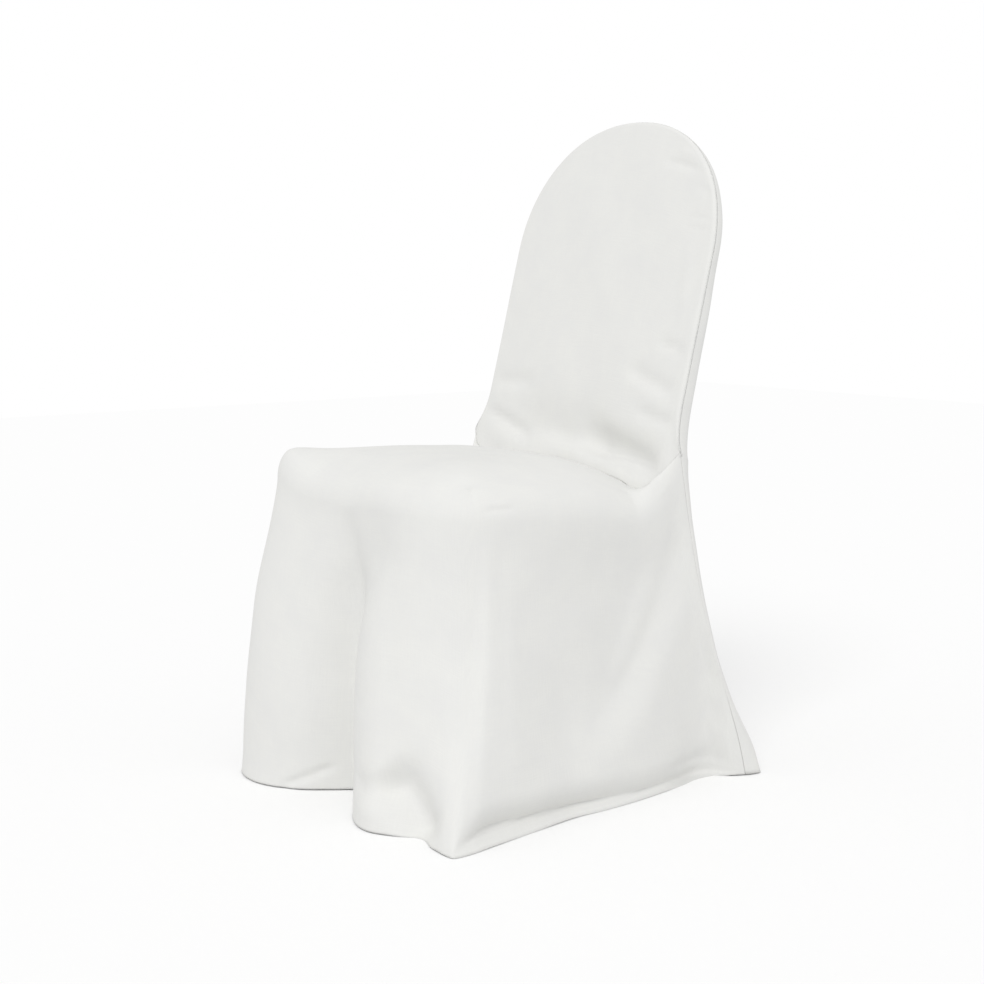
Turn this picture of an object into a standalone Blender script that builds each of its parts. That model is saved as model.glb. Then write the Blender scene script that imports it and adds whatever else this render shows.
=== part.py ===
# Fitted banquet chair cover with a round top, made of three cloth panels:
# the inside back, the outside back with its side bands, and the seat with its skirt.
# Metres, +Z up, the front of the chair towards -Y, the hem on the floor at Z = 0.
import bpy
import bmesh
import numpy as np

# Cloth
CLOTH = 0.002
SEAM_GAP = 0.0004
WHITE = (0.787, 0.794, 0.774)

# Where the chair stands in the frame
CENTRE_Y = 0.045

# Backrest: a leaning plate with straight sides and a round top
BACK_HALF_W = 0.2125
BACK_STRAIGHT = 0.316
BACK_LENGTH = 0.5135
BACK_ROUNDNESS = 2.15
BACK_LEAN = np.radians(14.63)
BACK_FRONT_Y = 0.159
BACK_BASE_Z = 0.4435
BACK_THICK_LOW = 0.030
BACK_THICK_TOP = 0.017
BACK_EDGE_R = 0.006
BACK_CROWN = 0.007
JUNCTION_REACH = 0.115
LEFT_FLARE = 0.018
LEFT_SHIFT = (0.010, 0.018)
BAND_TRIM = 0.08
HEM_Z = 0.0012
ARCH_SHARE = 0.55

# Seat
SEAT_HALF_W = 0.190
SEAT_REAR_Y = 0.155
SEAT_FRONT_Y = -0.182
SEAT_FRONT_Z = 0.4595
SEAT_REAR_Z = 0.4435
SEAT_CORNER_RIGHT = 0.130
SEAT_CORNER_LEFT = 0.030
SEAT_CROWN = 0.025
SEAT_RIM_FALL = 0.033
LEFT_FRONT_OUT = (0.010, 0.011)
SEAT_EDGE_OUT = 0.022
SEAT_EDGE_DOWN = 0.042
CREASE_REACH = 0.13
REAR_FALL = (0.017, 0.013)
REAR_REACH = 0.40

# Crease where seat and inside back meet: share across, x, y, z
CREASE = np.array([
    (-1.00, -0.2245, 0.1680, 0.4780),
    (-0.93, -0.2110, 0.1590, 0.4590),
    (-0.80, -0.1700, 0.1570, 0.4515),
    (-0.40, -0.0800, 0.1560, 0.4545),
    (0.00, 0.0000, 0.1545, 0.4500),
    (0.35, 0.0700, 0.1515, 0.4440),
    (0.62, 0.1300, 0.1500, 0.4345),
    (0.80, 0.1680, 0.1505, 0.4235),
    (0.93, 0.1980, 0.1600, 0.4280),
    (1.00, 0.2145, 0.1860, 0.4780),
])

# Side seam of the right side below the junction: z, x, y
SIDE_SEAM = np.array([
    (0.000, 0.2205, 0.318),
    (0.040, 0.2210, 0.307),
    (0.110, 0.2200, 0.283),
    (0.185, 0.2190, 0.254),
    (0.240, 0.2180, 0.236),
    (0.310, 0.2170, 0.218),
    (0.380, 0.2160, 0.203),
    (0.430, 0.2155, 0.194),
    (0.478, 0.2145, 0.186),
])

# Rear corner of the band below the seat: z, x, y
REAR_CORNER = np.array([
    (0.000, 0.2210, 0.347),
    (0.036, 0.2180, 0.335),
    (0.110, 0.2120, 0.296),
    (0.185, 0.2040, 0.266),
    (0.240, 0.2000, 0.250),
    (0.310, 0.1960, 0.234),
    (0.380, 0.1940, 0.220),
    (0.430, 0.1970, 0.212),
    (0.460, 0.2030, 0.208),
])

# Where the middle of the outside back hangs: z, y
REAR_HANG = np.array([
    (0.000, 0.327),
    (0.150, 0.315),
    (0.300, 0.304),
    (0.460, 0.296),
    (0.650, 0.294),
    (0.800, 0.297),
    (0.950, 0.304),
])

# Hem of the skirt from the rear left seam by the front to the rear right seam: run, x, y
HEM = np.array([
    (0.00, -0.2205, 0.318),
    (0.04, -0.2060, 0.292),
    (0.10, -0.1980, 0.255),
    (0.20, -0.2020, 0.200),
    (0.36, -0.2120, 0.110),
    (0.54, -0.2200, 0.010),
    (0.72, -0.2340, -0.090),
    (0.86, -0.2500, -0.170),
    (0.95, -0.2600, -0.218),
    (1.00, -0.2540, -0.241),
    (1.06, -0.2250, -0.257),
    (1.14, -0.1800, -0.262),
    (1.22, -0.1420, -0.251),
    (1.30, -0.1070, -0.227),
    (1.37, -0.0800, -0.193),
    (1.42, -0.0620, -0.171),
    (1.46, -0.0420, -0.168),
    (1.50, -0.0150, -0.198),
    (1.55, 0.0300, -0.237),
    (1.60, 0.0700, -0.259),
    (1.66, 0.1070, -0.264),
    (1.72, 0.1380, -0.252),
    (1.80, 0.1800, -0.240),
    (1.88, 0.2170, -0.239),
    (1.95, 0.2480, -0.243),
    (2.00, 0.2640, -0.240),
    (2.05, 0.2650, -0.216),
    (2.12, 0.2570, -0.175),
    (2.22, 0.2470, -0.120),
    (2.34, 0.2360, -0.062),
    (2.46, 0.2270, -0.008),
    (2.58, 0.2260, 0.047),
    (2.70, 0.2210, 0.107),
    (2.80, 0.2130, 0.160),
    (2.88, 0.2030, 0.210),
    (2.94, 0.1950, 0.258),
    (2.97, 0.2030, 0.290),
    (3.00, 0.2205, 0.318),
])

# How far the skirt moves from its plain fall at mid-height: run, x, y
MIDWAY = np.array([
    (0.00, 0.0000, 0.0000),
    (1.65, 0.0000, 0.0000),
    (1.75, 0.0000, 0.0040),
    (1.85, -0.0020, 0.0105),
    (1.92, -0.0030, 0.0110),
    (2.00, -0.0075, 0.0080),
    (2.08, -0.0030, 0.0035),
    (2.16, 0.0020, 0.0000),
    (2.28, 0.0000, 0.0000),
    (3.00, 0.0000, 0.0000),
])

# Soft valley in the front: height, place of its middle across, half-width, depth
VALLEY = np.array([
    (0.000, -0.056, 0.036, 0.000),
    (0.100, -0.052, 0.038, 0.008),
    (0.200, -0.046, 0.042, 0.015),
    (0.290, -0.016, 0.055, 0.018),
    (0.350, 0.026, 0.058, 0.013),
    (0.410, 0.040, 0.050, 0.000),
    (0.500, 0.040, 0.050, 0.000),
])

# Height of the lip turned out along the hem of the right side: run, height
LIP = np.array([
    (2.00, 0.0090),
    (2.08, 0.0150),
    (2.16, 0.0165),
    (2.28, 0.0130),
    (2.42, 0.0110),
    (2.64, 0.0090),
    (2.80, 0.0050),
    (3.00, 0.0040),
])

# Skirt details
LIP_OUT = 0.024
BULGE_HEIGHT = 0.085
BULGE_RISE = 0.042
SIDE_INSET = 0.004
SET_IN_Y = -0.140
SET_IN_Z = 0.412
VALLEY_EARLY = 0.40
CORNER_LATE = 0.9
DRAG_DEPTH = 0.013
DRAG_RISE = 0.095
DRAG_BOW = 0.008
DRAG_TOP = (0.166, 0.410)
DRAG_LOW = (0.034, 0.100)

# Cells across, cells along and rows of the border for each panel
INSIDE_CELLS = (20, 24, 4)
OUTSIDE_CELLS = (20, 48, 4)
SEAT_CELLS = (20, 20, 24)

LEAN_DEPTH = np.array([0.0, np.cos(BACK_LEAN), -np.sin(BACK_LEAN)])


def smooth(x):
    """A soft step from 0 to 1 while x goes from 0 to 1: x squared times three less two x."""
    x = np.clip(x, 0.0, 1.0)
    return x * x * (3.0 - 2.0 * x)


def along(rows, x, column):
    """A smooth curve through one column of a table whose first column is x."""
    t, y = rows[:, 0], rows[:, column]
    slope = np.gradient(y, t)
    i = np.clip(np.searchsorted(t, x, side="right") - 1, 0, len(t) - 2)
    step = t[i + 1] - t[i]
    k = np.clip((x - t[i]) / step, 0.0, 1.0)
    start = y[i] * (1 + 2 * k) * (1 - k) ** 2 + slope[i] * step * k * (1 - k) ** 2
    end = y[i + 1] * k * k * (3 - 2 * k) + slope[i + 1] * step * k * k * (k - 1)
    return start + end


def on_back(x, s, depth):
    """The point at width x and height s along the leaning back, depth behind its front."""
    y = BACK_FRONT_Y + s * np.sin(BACK_LEAN) + depth * np.cos(BACK_LEAN)
    z = BACK_BASE_Z + s * np.cos(BACK_LEAN) - depth * np.sin(BACK_LEAN)
    return np.stack([x, y, z], axis=-1)


def thickness(s):
    """How thick the back is at height s: a straight line from its foot to its top."""
    share = np.clip(s / BACK_LENGTH, 0.0, 1.0)
    return BACK_THICK_LOW + (BACK_THICK_TOP - BACK_THICK_LOW) * share


def arch_share(b):
    """How far b is along the arch, from 0 where it springs to 1 at the crown."""
    return np.clip((b - ARCH_SHARE) / (1.0 - ARCH_SHARE), 0.0, 1.0)


def round_top(a, b, inset):
    """Width and height on the back: straight sides, then a square drawn onto a superellipse."""
    p = BACK_ROUNDNESS
    c = arch_share(b)
    x = (BACK_HALF_W - inset) * a * (1 - c ** p / 2) ** (1 / p)
    rise = BACK_LENGTH - inset - BACK_STRAIGHT
    arch = BACK_STRAIGHT + rise * c * (1 - np.abs(a) ** p / 2) ** (1 / p)
    s = np.where(b < ARCH_SHARE, BACK_STRAIGHT * b / ARCH_SHARE, arch)
    left = LEFT_FLARE * smooth((0.10 - s) / 0.10) * np.clip(-a, 0, 1) ** 3
    return x - left, s


def near_junction(s):
    """How strongly a point at height s is drawn to where the three panels meet: a falling square."""
    return np.clip(1 - s / JUNCTION_REACH, 0.0, 1.0) ** 2


def inside_back(a, b, v):
    """The padded front of the back, crowned, with a quarter circle round its edge as v grows."""
    turn = np.clip(v / 0.8, 0.0, 1.0) * np.pi / 2
    inset = BACK_EDGE_R * (1 - np.sin(turn))
    last = 0.0012 * np.clip((v - 0.8) / 0.2, 0.0, 1.0)
    depth = (BACK_EDGE_R - 0.0012 - SEAM_GAP / 2) * (1 - np.cos(turn)) + last
    x, s = round_top(a, b, inset)
    crown = BACK_CROWN * (1 - a ** 2) * (1 - arch_share(b) ** 2) ** 0.8
    across, along_fold = (x - 0.12) / 0.07, (s - 0.035 + 0.25 * (x - 0.12)) / 0.022
    hollow = 0.008 * np.exp(-across ** 2 - along_fold ** 2) * (1 - a ** 2)
    p = on_back(x, s, depth - crown + hollow)
    base_x, base_s = round_top(a, 0 * b, inset)
    base = on_back(base_x, base_s, depth - BACK_CROWN * (1 - a ** 2))
    foot = np.stack([along(CREASE, a, i) for i in (1, 2, 3)], axis=-1)
    foot[..., 0] -= 3 * SEAM_GAP * np.sign(a) * smooth((np.abs(a) - 0.75) / 0.2)
    foot[..., 2] += SEAM_GAP
    return p + (foot - base) * near_junction(s)[..., None]


def outside_back(a, b, v):
    """The back panel: its middle hangs, its corner lines carry it, and a smooth band goes to the seam."""
    v = v * (1 - BAND_TRIM)
    side = np.where(a < 0, -1.0, 1.0)
    up = np.clip((b - 0.5) * 2, 0.0, 1.0)
    drop = fall(1 - np.clip(b * 2, 0.0, 1.0), SIDE_SEAM[-1, 0] + 0 * b)
    share = 1 - drop
    low = b < 0.5
    x, s = round_top(a, up, BACK_EDGE_R)
    seam_x, seam_s = round_top(a, up, 0.0)
    front = BACK_EDGE_R + SEAM_GAP / 2
    corner_high = on_back(x, s, thickness(s))
    seam_high = on_back(seam_x, seam_s, front)
    out_high = seam_high - on_back(x, s, front)
    level_x, level_s = round_top(a, 0 * b, BACK_EDGE_R)
    corner_level = on_back(level_x, level_s, thickness(level_s))
    level_x, level_s = round_top(a, 0 * b, 0.0)
    seam_level = on_back(level_x, level_s, front)
    corner_low = column(REAR_CORNER, share, side)
    seam_low = column(SIDE_SEAM, share, side)
    corner_low[..., 0] *= np.abs(a)
    corner_top = column(REAR_CORNER, 0 * share + 1, side)
    seam_top = column(SIDE_SEAM, 0 * share + 1, side)
    corner_top[..., 0] *= np.abs(a)
    seam_top[..., 0] *= np.abs(a)
    corner_high = corner_high + (corner_top - corner_level) * near_junction(s)[..., None]
    seam_high = seam_high + (seam_top - seam_level) * near_junction(seam_s)[..., None]
    corner = np.where(low[..., None], corner_low, corner_high)
    seam = np.where(low[..., None], seam_low, seam_high)
    out_low = np.stack([side, 0 * side, 0 * side], axis=-1)
    out = np.where(low[..., None], out_low, out_high)
    out = out / (np.linalg.norm(out, axis=-1, keepdims=True) + 1e-9)
    skirt = hanging(side, 0 * b + 0.05, drop) - hanging(side, 0 * b, drop)
    skirt[..., 2] = 0
    skirt = skirt / np.linalg.norm(skirt, axis=-1, keepdims=True)
    hold = np.where(low, 1.0, near_junction(seam_s))[..., None]
    fore = skirt * hold - LEAN_DEPTH * (1 - hold)
    width = np.linalg.norm(seam - corner, axis=-1, keepdims=True)
    k = v[..., None]
    band = corner * (1 + 2 * k) * (1 - k) ** 2 + seam * k * k * (3 - 2 * k)
    band = band + out * width * 0.9 * k * (1 - k) ** 2 + fore * width * k * k * (k - 1)
    middle = np.clip(1 - a ** 2, 0, 1)
    away = along(REAR_HANG, corner[..., 2], 1) - corner[..., 1]
    hang = np.where(low, away, np.maximum(away, 0.0) + 0.006 * smooth(up)) * middle ** 1.8
    waves = 0.010 * np.cos(3 * np.pi * a + 0.6) + 0.004 * np.cos(5 * np.pi * a - 1.0)
    hang = hang * (1 - arch_share(up) ** 2) + np.where(low, waves * drop ** 1.2 * middle, 0.0)
    band[..., 1] += hang
    band[..., 2] += np.where(low, HEM_Z * drop ** 4, 0.0)
    return band


def column(rows, share, side):
    """A point at a share of the height of one of the upright lines given by a table."""
    z = share * rows[-1, 0]
    left = np.where(side < 0, smooth((z - 0.28) / 0.17), 0.0)
    x = side * (along(rows, z, 1) + LEFT_SHIFT[0] * left)
    return np.stack([x, along(rows, z, 2) - LEFT_SHIFT[1] * left, z], axis=-1)


def seat_face(a, b):
    """The top of the seat: a square with drawn-in corners, crowned, its rear let down to the crease."""
    corner = np.where(a < 0, SEAT_CORNER_LEFT, SEAT_CORNER_RIGHT)
    pull = 1 - corner * (np.abs(a) * b) ** ((1 - corner) / (2 * corner))
    x = SEAT_HALF_W * a * pull
    y = SEAT_REAR_Y + (SEAT_FRONT_Y - SEAT_REAR_Y) * b * pull
    left_front = smooth(-a) * b
    x = x - LEFT_FRONT_OUT[0] * left_front
    y = y - LEFT_FRONT_OUT[1] * left_front
    slope = (SEAT_FRONT_Z - SEAT_REAR_Z) / (SEAT_REAR_Y - SEAT_FRONT_Y)
    front = np.clip((b - 0.45) / 0.55, 0.0, 1.0)
    side = np.clip((np.abs(a) - 0.25) / 0.75, 0.0, 1.0)
    rim = (side ** 15 + front ** 20) ** (1 / 5)
    rim = rim * (1 - 0.7 * smooth((-a - 0.5) / 0.5) * smooth((b - 0.5) / 0.5))
    rear = REAR_FALL[0] + REAR_FALL[1] * smooth((a + 0.2) / 0.7)
    back = np.clip(1 - b / REAR_REACH, 0.0, 1.0) ** 2
    z = SEAT_REAR_Z + slope * (SEAT_REAR_Y - y) + SEAT_CROWN - SEAT_RIM_FALL * rim - rear * back
    p = np.stack([x, y, z], axis=-1)
    base_z = SEAT_REAR_Z + SEAT_CROWN - SEAT_RIM_FALL * side ** 3 - rear
    base = np.stack([SEAT_HALF_W * a, SEAT_REAR_Y + 0 * a, base_z], axis=-1)
    crease = np.stack([along(CREASE, a, i) for i in (1, 2, 3)], axis=-1)
    low = np.clip(1 - b / CREASE_REACH, 0.0, 1.0) ** 2
    return p + (crease - base) * low[..., None]


def fall(v, top):
    """The share of the way down to the floor at border row v, for an edge at height top."""
    first = SEAT_EDGE_DOWN / top
    last = 1 - BULGE_HEIGHT / top
    round_part = first * (1 - np.cos(np.clip(v, 0, 0.25) * 2 * np.pi))
    straight = (last - first) * np.clip((v - 0.25) / 0.5, 0.0, 1.0)
    return round_part + straight + (1 - last) * np.clip((v - 0.75) / 0.25, 0.0, 1.0)


def seat_skirt(a, b, v):
    """The seat where v = 0, and the skirt that falls from its edge to the hem at v = 1."""
    return hanging(a, b, fall(v, seat_face(a, b)[..., 2]))


def hanging(a, b, drop):
    """The cloth below the seat's edge: an elliptic turn, then an eased line out to the hem's curve."""
    top = seat_face(a, b)
    z = top[..., 2] * (1 - drop)
    turned = np.clip(drop * top[..., 2] / SEAT_EDGE_DOWN, 0.0, 1.0)
    start = edge_slope(a, b, top) * SEAT_EDGE_OUT
    start = start / (SEAT_EDGE_DOWN - start)
    level = np.sqrt(1 - start ** 2) * (1 - turned)
    out = SEAT_EDGE_OUT * (np.sqrt(1 - level ** 2) - start) / (1 - start)
    half = np.abs(SEAT_FRONT_Y)
    dx = np.sign(a) * np.abs(top[..., 0] / SEAT_HALF_W) ** 5 / SEAT_HALF_W
    dy = -np.clip(-top[..., 1] / half, 0.0, 2.0) ** 5 / half
    size = np.sqrt(dx ** 2 + dy ** 2) + 1e-9
    dx, dy = dx / size, dy / size
    right = (a >= 1.0) & (b < 1.0)
    left = (a <= -1.0) & (b < 1.0)
    run = np.where(left, b, np.where(right, 3.0 - b, 1.5 + a / 2))
    hang = np.clip((top[..., 2] - SEAT_EDGE_DOWN - z) / (top[..., 2] - SEAT_EDGE_DOWN), 0.0, 1.0)
    late = np.where(run > 2, smooth((run - 2.06) / 0.12) * smooth((2.97 - run) / 0.2), 0.0)
    early = smooth((run - 0.8) / 0.2) * smooth((1.2 - run) / 0.2)
    valley = np.exp(-((run - 1.43) / 0.10) ** 2)
    corner = np.exp(-((run - 2.0) / 0.13) ** 2)
    begin = hang * hang * 1.06 / (hang + 0.06)
    ease = begin ** (1 + 0.7 * late - 0.2 * early - VALLEY_EARLY * valley + CORNER_LATE * corner)
    edge_x = top[..., 0] + SEAT_EDGE_OUT * dx
    edge_y = top[..., 1] + SEAT_EDGE_OUT * dy
    x = top[..., 0] + out * dx + (along(HEM, run, 1) - edge_x) * ease
    y = top[..., 1] + out * dy + (along(HEM, run, 2) - edge_y) * ease
    under = smooth(hang / 0.16) * (1 - hang) ** 1.5
    inset = SIDE_INSET * late * under
    lip = np.where(run > 2, along(LIP, run, 1), 0.5 * BULGE_HEIGHT)
    rise = (1 - np.clip((z - lip) / BULGE_RISE, 0.0, 1.0)) ** 2
    groove = LIP_OUT * np.where(z < lip, z / lip, rise) * (1 - 0.35 * smooth((run - 2.35) / 0.4))
    hem_right = smooth((run - 1.98) / 0.14) * smooth((3.02 - run) / 0.12)
    hem_left = 0.5 * smooth((0.98 - run) / 0.1) * smooth(run / 0.1)
    inset = inset + groove * (hem_right + hem_left) + drag(y, z) * (run > 2)
    midway = smooth(hang / 0.42) * smooth((1 - hang) / 0.36)
    x = x - inset * dx + midway * along(MIDWAY, run, 1)
    y = y - inset * dy + midway * along(MIDWAY, run, 2)
    across = (x - along(VALLEY, z, 1)) / along(VALLEY, z, 2)
    front = (run > 1) & (run < 2)
    y = y + np.where(front, along(VALLEY, z, 3) * np.exp(-across ** 2), 0.0)
    hold = np.where(np.abs(a) >= 1.0, np.clip(1 - b / CREASE_REACH, 0.0, 1.0) ** 2, 0.0)
    side = np.where(a < 0, -1.0, 1.0)
    seam = column(SIDE_SEAM, 1 - drop, side) - column(SIDE_SEAM, 1 + 0 * drop, side)
    x = top[..., 0] + (1 - hold) * (x - top[..., 0]) + hold * seam[..., 0]
    y = top[..., 1] + (1 - hold) * (y - top[..., 1]) + hold * (seam[..., 1] - SEAM_GAP)
    return np.stack([x, y, z + HEM_Z * drop ** 4], axis=-1)


def edge_slope(a, b, top):
    """How steeply the seat already falls where its edge begins: drop over distance, just inside it."""
    at_side = np.abs(a) >= 1.0
    inner = seat_face(np.where(at_side, 0.98 * a, a), np.where((b >= 1.0) & ~at_side, 0.98, b))
    away = np.hypot(inner[..., 0] - top[..., 0], inner[..., 1] - top[..., 1]) + 1e-9
    return np.clip((inner[..., 2] - top[..., 2]) / away, 0.0, 0.85)


def drag(y, z):
    """The valley pulled across the right side: a slow ramp in to a slanting line, a wider one out."""
    ty, tz = DRAG_TOP
    ly, lz = DRAG_LOW
    up = (z - lz) / (tz - lz)
    line = ly + up * (ty - ly) + 4 * DRAG_BOW * np.clip(up * (1 - up), -0.2, 1.0)
    ramp = np.clip((y - SET_IN_Y) / (line - SET_IN_Y), -0.5, 2.0)
    out = 1 - np.clip((y - line) / DRAG_RISE, -2.0, 1.5)
    valley = (ramp + out - np.sqrt((ramp - out) ** 2 + 0.03)) / 2
    valley = smooth(valley * 0.5 + 0.08) * 2.2 - 0.04
    top = SET_IN_Z - 0.030 * np.exp(-np.clip((y - SET_IN_Y) / 0.035, 0.0, 9.0))
    return DRAG_DEPTH * np.clip(valley, 0.0, None) * smooth((top - z) / 0.13) * smooth((z - 0.05) / 0.12)


def sheet_points(cells, place):
    """Grid coordinates of a panel's face and border, and the points they go to."""
    nx, ny, nb = cells
    bm = bmesh.new()
    bmesh.ops.create_grid(bm, x_segments=nx, y_segments=ny, size=0.5)
    share = np.array([v.co[:2] for v in bm.verts]) + 0.5
    spots = place(share[:, 0] * 2 - 1, share[:, 1], np.zeros(len(share)))
    for vert, spot in zip(bm.verts, spots):
        vert.co = spot
    done = len(bm.verts)
    bmesh.ops.create_grid(bm, x_segments=2 * ny + nx, y_segments=nb, size=0.5)
    bm.verts.ensure_lookup_table()
    ring = bm.verts[done:]
    share = np.array([v.co[:2] for v in ring]) + 0.5
    run = share[:, 0] * (2 * ny + nx)
    a = np.clip((run - ny) / nx, 0.0, 1.0) * 2 - 1
    b = np.clip(np.minimum(run, 2 * ny + nx - run) / ny, 0.0, 1.0)
    spots = place(a, b, share[:, 1])
    for vert, spot in zip(ring, spots):
        vert.co = spot
    bmesh.ops.remove_doubles(bm, verts=bm.verts, dist=2e-5)
    return bm


def panel(name, cells, place, outward, collection):
    """One cloth panel: an open sheet that a Solidify modifier thickens inwards."""
    bm = sheet_points(cells, place)
    bmesh.ops.translate(bm, verts=bm.verts, vec=(0.0, -CENTRE_Y, 0.0))
    bmesh.ops.recalc_face_normals(bm, faces=bm.faces)
    total = sum((f.normal.dot(outward) * f.calc_area() for f in bm.faces))
    if total < 0:
        bmesh.ops.reverse_faces(bm, faces=bm.faces)
    mesh = bpy.data.meshes.new(name)
    bm.to_mesh(mesh)
    bm.free()
    for polygon in mesh.polygons:
        polygon.use_smooth = True
    mesh.materials.append(woven_polyester(name))
    obj = bpy.data.objects.new(name, mesh)
    collection.objects.link(obj)
    thick = obj.modifiers.new("cloth", "SOLIDIFY")
    thick.thickness = CLOTH
    thick.offset = -1.0
    thick.use_even_offset = True
    return obj


def woven_polyester(name):
    """White woven polyester for one panel."""
    material = bpy.data.materials.new(name)
    material.use_nodes = True
    shader = material.node_tree.nodes["Principled BSDF"]
    shader.inputs["Base Color"].default_value = (*WHITE, 1.0)
    shader.inputs["Roughness"].default_value = 0.85
    material.diffuse_color = (*WHITE, 1.0)
    return material


def build():
    """The whole cover: its three panels in one collection of an empty scene."""
    for obj in list(bpy.data.objects):
        bpy.data.objects.remove(obj, do_unlink=True)
    cover = bpy.data.collections.new("banquet_chair_cover")
    bpy.context.scene.collection.children.link(cover)
    panel("inside_back", INSIDE_CELLS, inside_back, (0, -1, 0), cover)
    panel("outside_back", OUTSIDE_CELLS, outside_back, (0, 1, 0), cover)
    panel("seat_skirt", SEAT_CELLS, seat_skirt, (0, 0, 1), cover)


build()
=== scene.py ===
import bpy
import numpy as np
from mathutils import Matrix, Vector


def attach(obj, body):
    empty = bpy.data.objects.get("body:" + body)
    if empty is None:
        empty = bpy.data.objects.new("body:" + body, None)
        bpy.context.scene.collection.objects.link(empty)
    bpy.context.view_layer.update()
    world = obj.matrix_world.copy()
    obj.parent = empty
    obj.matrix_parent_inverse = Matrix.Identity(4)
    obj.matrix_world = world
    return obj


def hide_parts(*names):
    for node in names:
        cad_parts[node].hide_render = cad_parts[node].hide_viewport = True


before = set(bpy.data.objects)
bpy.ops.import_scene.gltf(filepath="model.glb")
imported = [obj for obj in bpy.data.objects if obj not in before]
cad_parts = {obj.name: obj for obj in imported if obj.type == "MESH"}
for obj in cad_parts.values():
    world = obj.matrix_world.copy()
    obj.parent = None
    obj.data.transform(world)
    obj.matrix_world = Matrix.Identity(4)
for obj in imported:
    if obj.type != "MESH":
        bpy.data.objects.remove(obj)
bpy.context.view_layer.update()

# Camera, at the photograph's angle
CAMERA_PLACE = (2.06666, -1.62135, 0.75116)
CAMERA_AIM = (0.0117, -0.0297, 0.4161)
CAMERA_LENS = 68.08

# Studio light
SURROUND = 0.77
KEY_AZIMUTH = 41.0
KEY_ELEVATION = 45.0
KEY_SPREAD = 30.0
KEY_STRENGTH = 0.95
FLOOR_SEEN = "#ffffff"
FLOOR_BOUNCE = "#eeeeee"
FLOOR_HALF = 6.0
FLOOR_Z = -0.0002

# Cloth
CLOTH = 0.0012
SEAM_GAP = 0.0004
FOOT_LAP = 0.0008
SEAM_ROUND = 0.0009
SEAM_TURN = 0.004
SEAM_HOLD = 0.014
HEM_LOWEST = 0.0003
HEM_STITCH = 0.016
STITCH_HALF_WIDTH = 0.0016

# Where the chair stands in the frame
CENTRE_Y = 0.045

# Backrest: a leaning plate with straight sides and a round top
BACK_HALF_W = 0.2125
BACK_STRAIGHT = 0.316
BACK_LENGTH = 0.5135
BACK_ROUNDNESS = 2.15
BACK_LEAN = np.radians(14.63)
BACK_FRONT_Y = 0.159
BACK_BASE_Z = 0.4435
BACK_THICK_LOW = 0.030
BACK_THICK_TOP = 0.017
BACK_EDGE_R = 0.006
BACK_CROWN = 0.007
BACK_EDGE_END = 0.0012
HOLLOW_X = 0.12
HOLLOW_S = 0.035
HOLLOW_HALF_W = 0.07
HOLLOW_HALF_H = 0.022
HOLLOW_TILT = 0.25
HOLLOW_DEPTH = 0.008
JUNCTION_REACH = 0.115
LEFT_FLARE = 0.018
LEFT_SHIFT = (0.010, 0.018)
HEM_Z = 0.0012
ARCH_SHARE = 0.55

# Seat
SEAT_HALF_W = 0.190
SEAT_REAR_Y = 0.155
SEAT_FRONT_Y = -0.182
SEAT_FRONT_Z = 0.4595
SEAT_REAR_Z = 0.4435
SEAT_CORNER_RIGHT = 0.130
SEAT_CORNER_LEFT = 0.030
SEAT_CROWN = 0.025
SEAT_RIM_FALL = 0.033
LEFT_FRONT_OUT = (0.010, 0.011)
SEAT_EDGE_OUT = 0.022
SEAT_EDGE_DOWN = 0.042
CREASE_REACH = 0.13
REAR_FALL = (0.017, 0.013)
REAR_REACH = 0.40

# Crease where seat and inside back meet: share across, x, y, z
CREASE = np.array([
    (-1.00, -0.2245, 0.1680, 0.4780),
    (-0.93, -0.2110, 0.1590, 0.4590),
    (-0.80, -0.1700, 0.1570, 0.4515),
    (-0.40, -0.0800, 0.1560, 0.4545),
    (0.00, 0.0000, 0.1545, 0.4500),
    (0.35, 0.0700, 0.1515, 0.4440),
    (0.62, 0.1300, 0.1500, 0.4345),
    (0.80, 0.1680, 0.1505, 0.4235),
    (0.93, 0.1980, 0.1600, 0.4280),
    (1.00, 0.2145, 0.1860, 0.4780),
])

# Side seam of the right side below the junction: z, x, y
SIDE_SEAM = np.array([
    (0.000, 0.2205, 0.318),
    (0.040, 0.2210, 0.307),
    (0.110, 0.2200, 0.283),
    (0.185, 0.2190, 0.254),
    (0.240, 0.2180, 0.236),
    (0.310, 0.2170, 0.218),
    (0.380, 0.2160, 0.203),
    (0.430, 0.2155, 0.194),
    (0.478, 0.2145, 0.186),
])

# Rear corner of the band below the seat: z, x, y
REAR_CORNER = np.array([
    (0.000, 0.2210, 0.347),
    (0.036, 0.2180, 0.335),
    (0.110, 0.2120, 0.296),
    (0.185, 0.2040, 0.266),
    (0.240, 0.2000, 0.250),
    (0.310, 0.1960, 0.234),
    (0.380, 0.1940, 0.220),
    (0.430, 0.1970, 0.212),
    (0.460, 0.2030, 0.208),
])

# Long waves of the outside back towards its hem: depth, half turns from the middle to the edge, start
REAR_WAVES = ((0.010, 3, 0.6), (0.004, 5, -1.0))
REAR_LOOSE = 0.006

# Where the middle of the outside back hangs: z, y
REAR_HANG = np.array([
    (0.000, 0.327),
    (0.150, 0.315),
    (0.300, 0.304),
    (0.460, 0.296),
    (0.650, 0.294),
    (0.800, 0.297),
    (0.950, 0.304),
])

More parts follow.
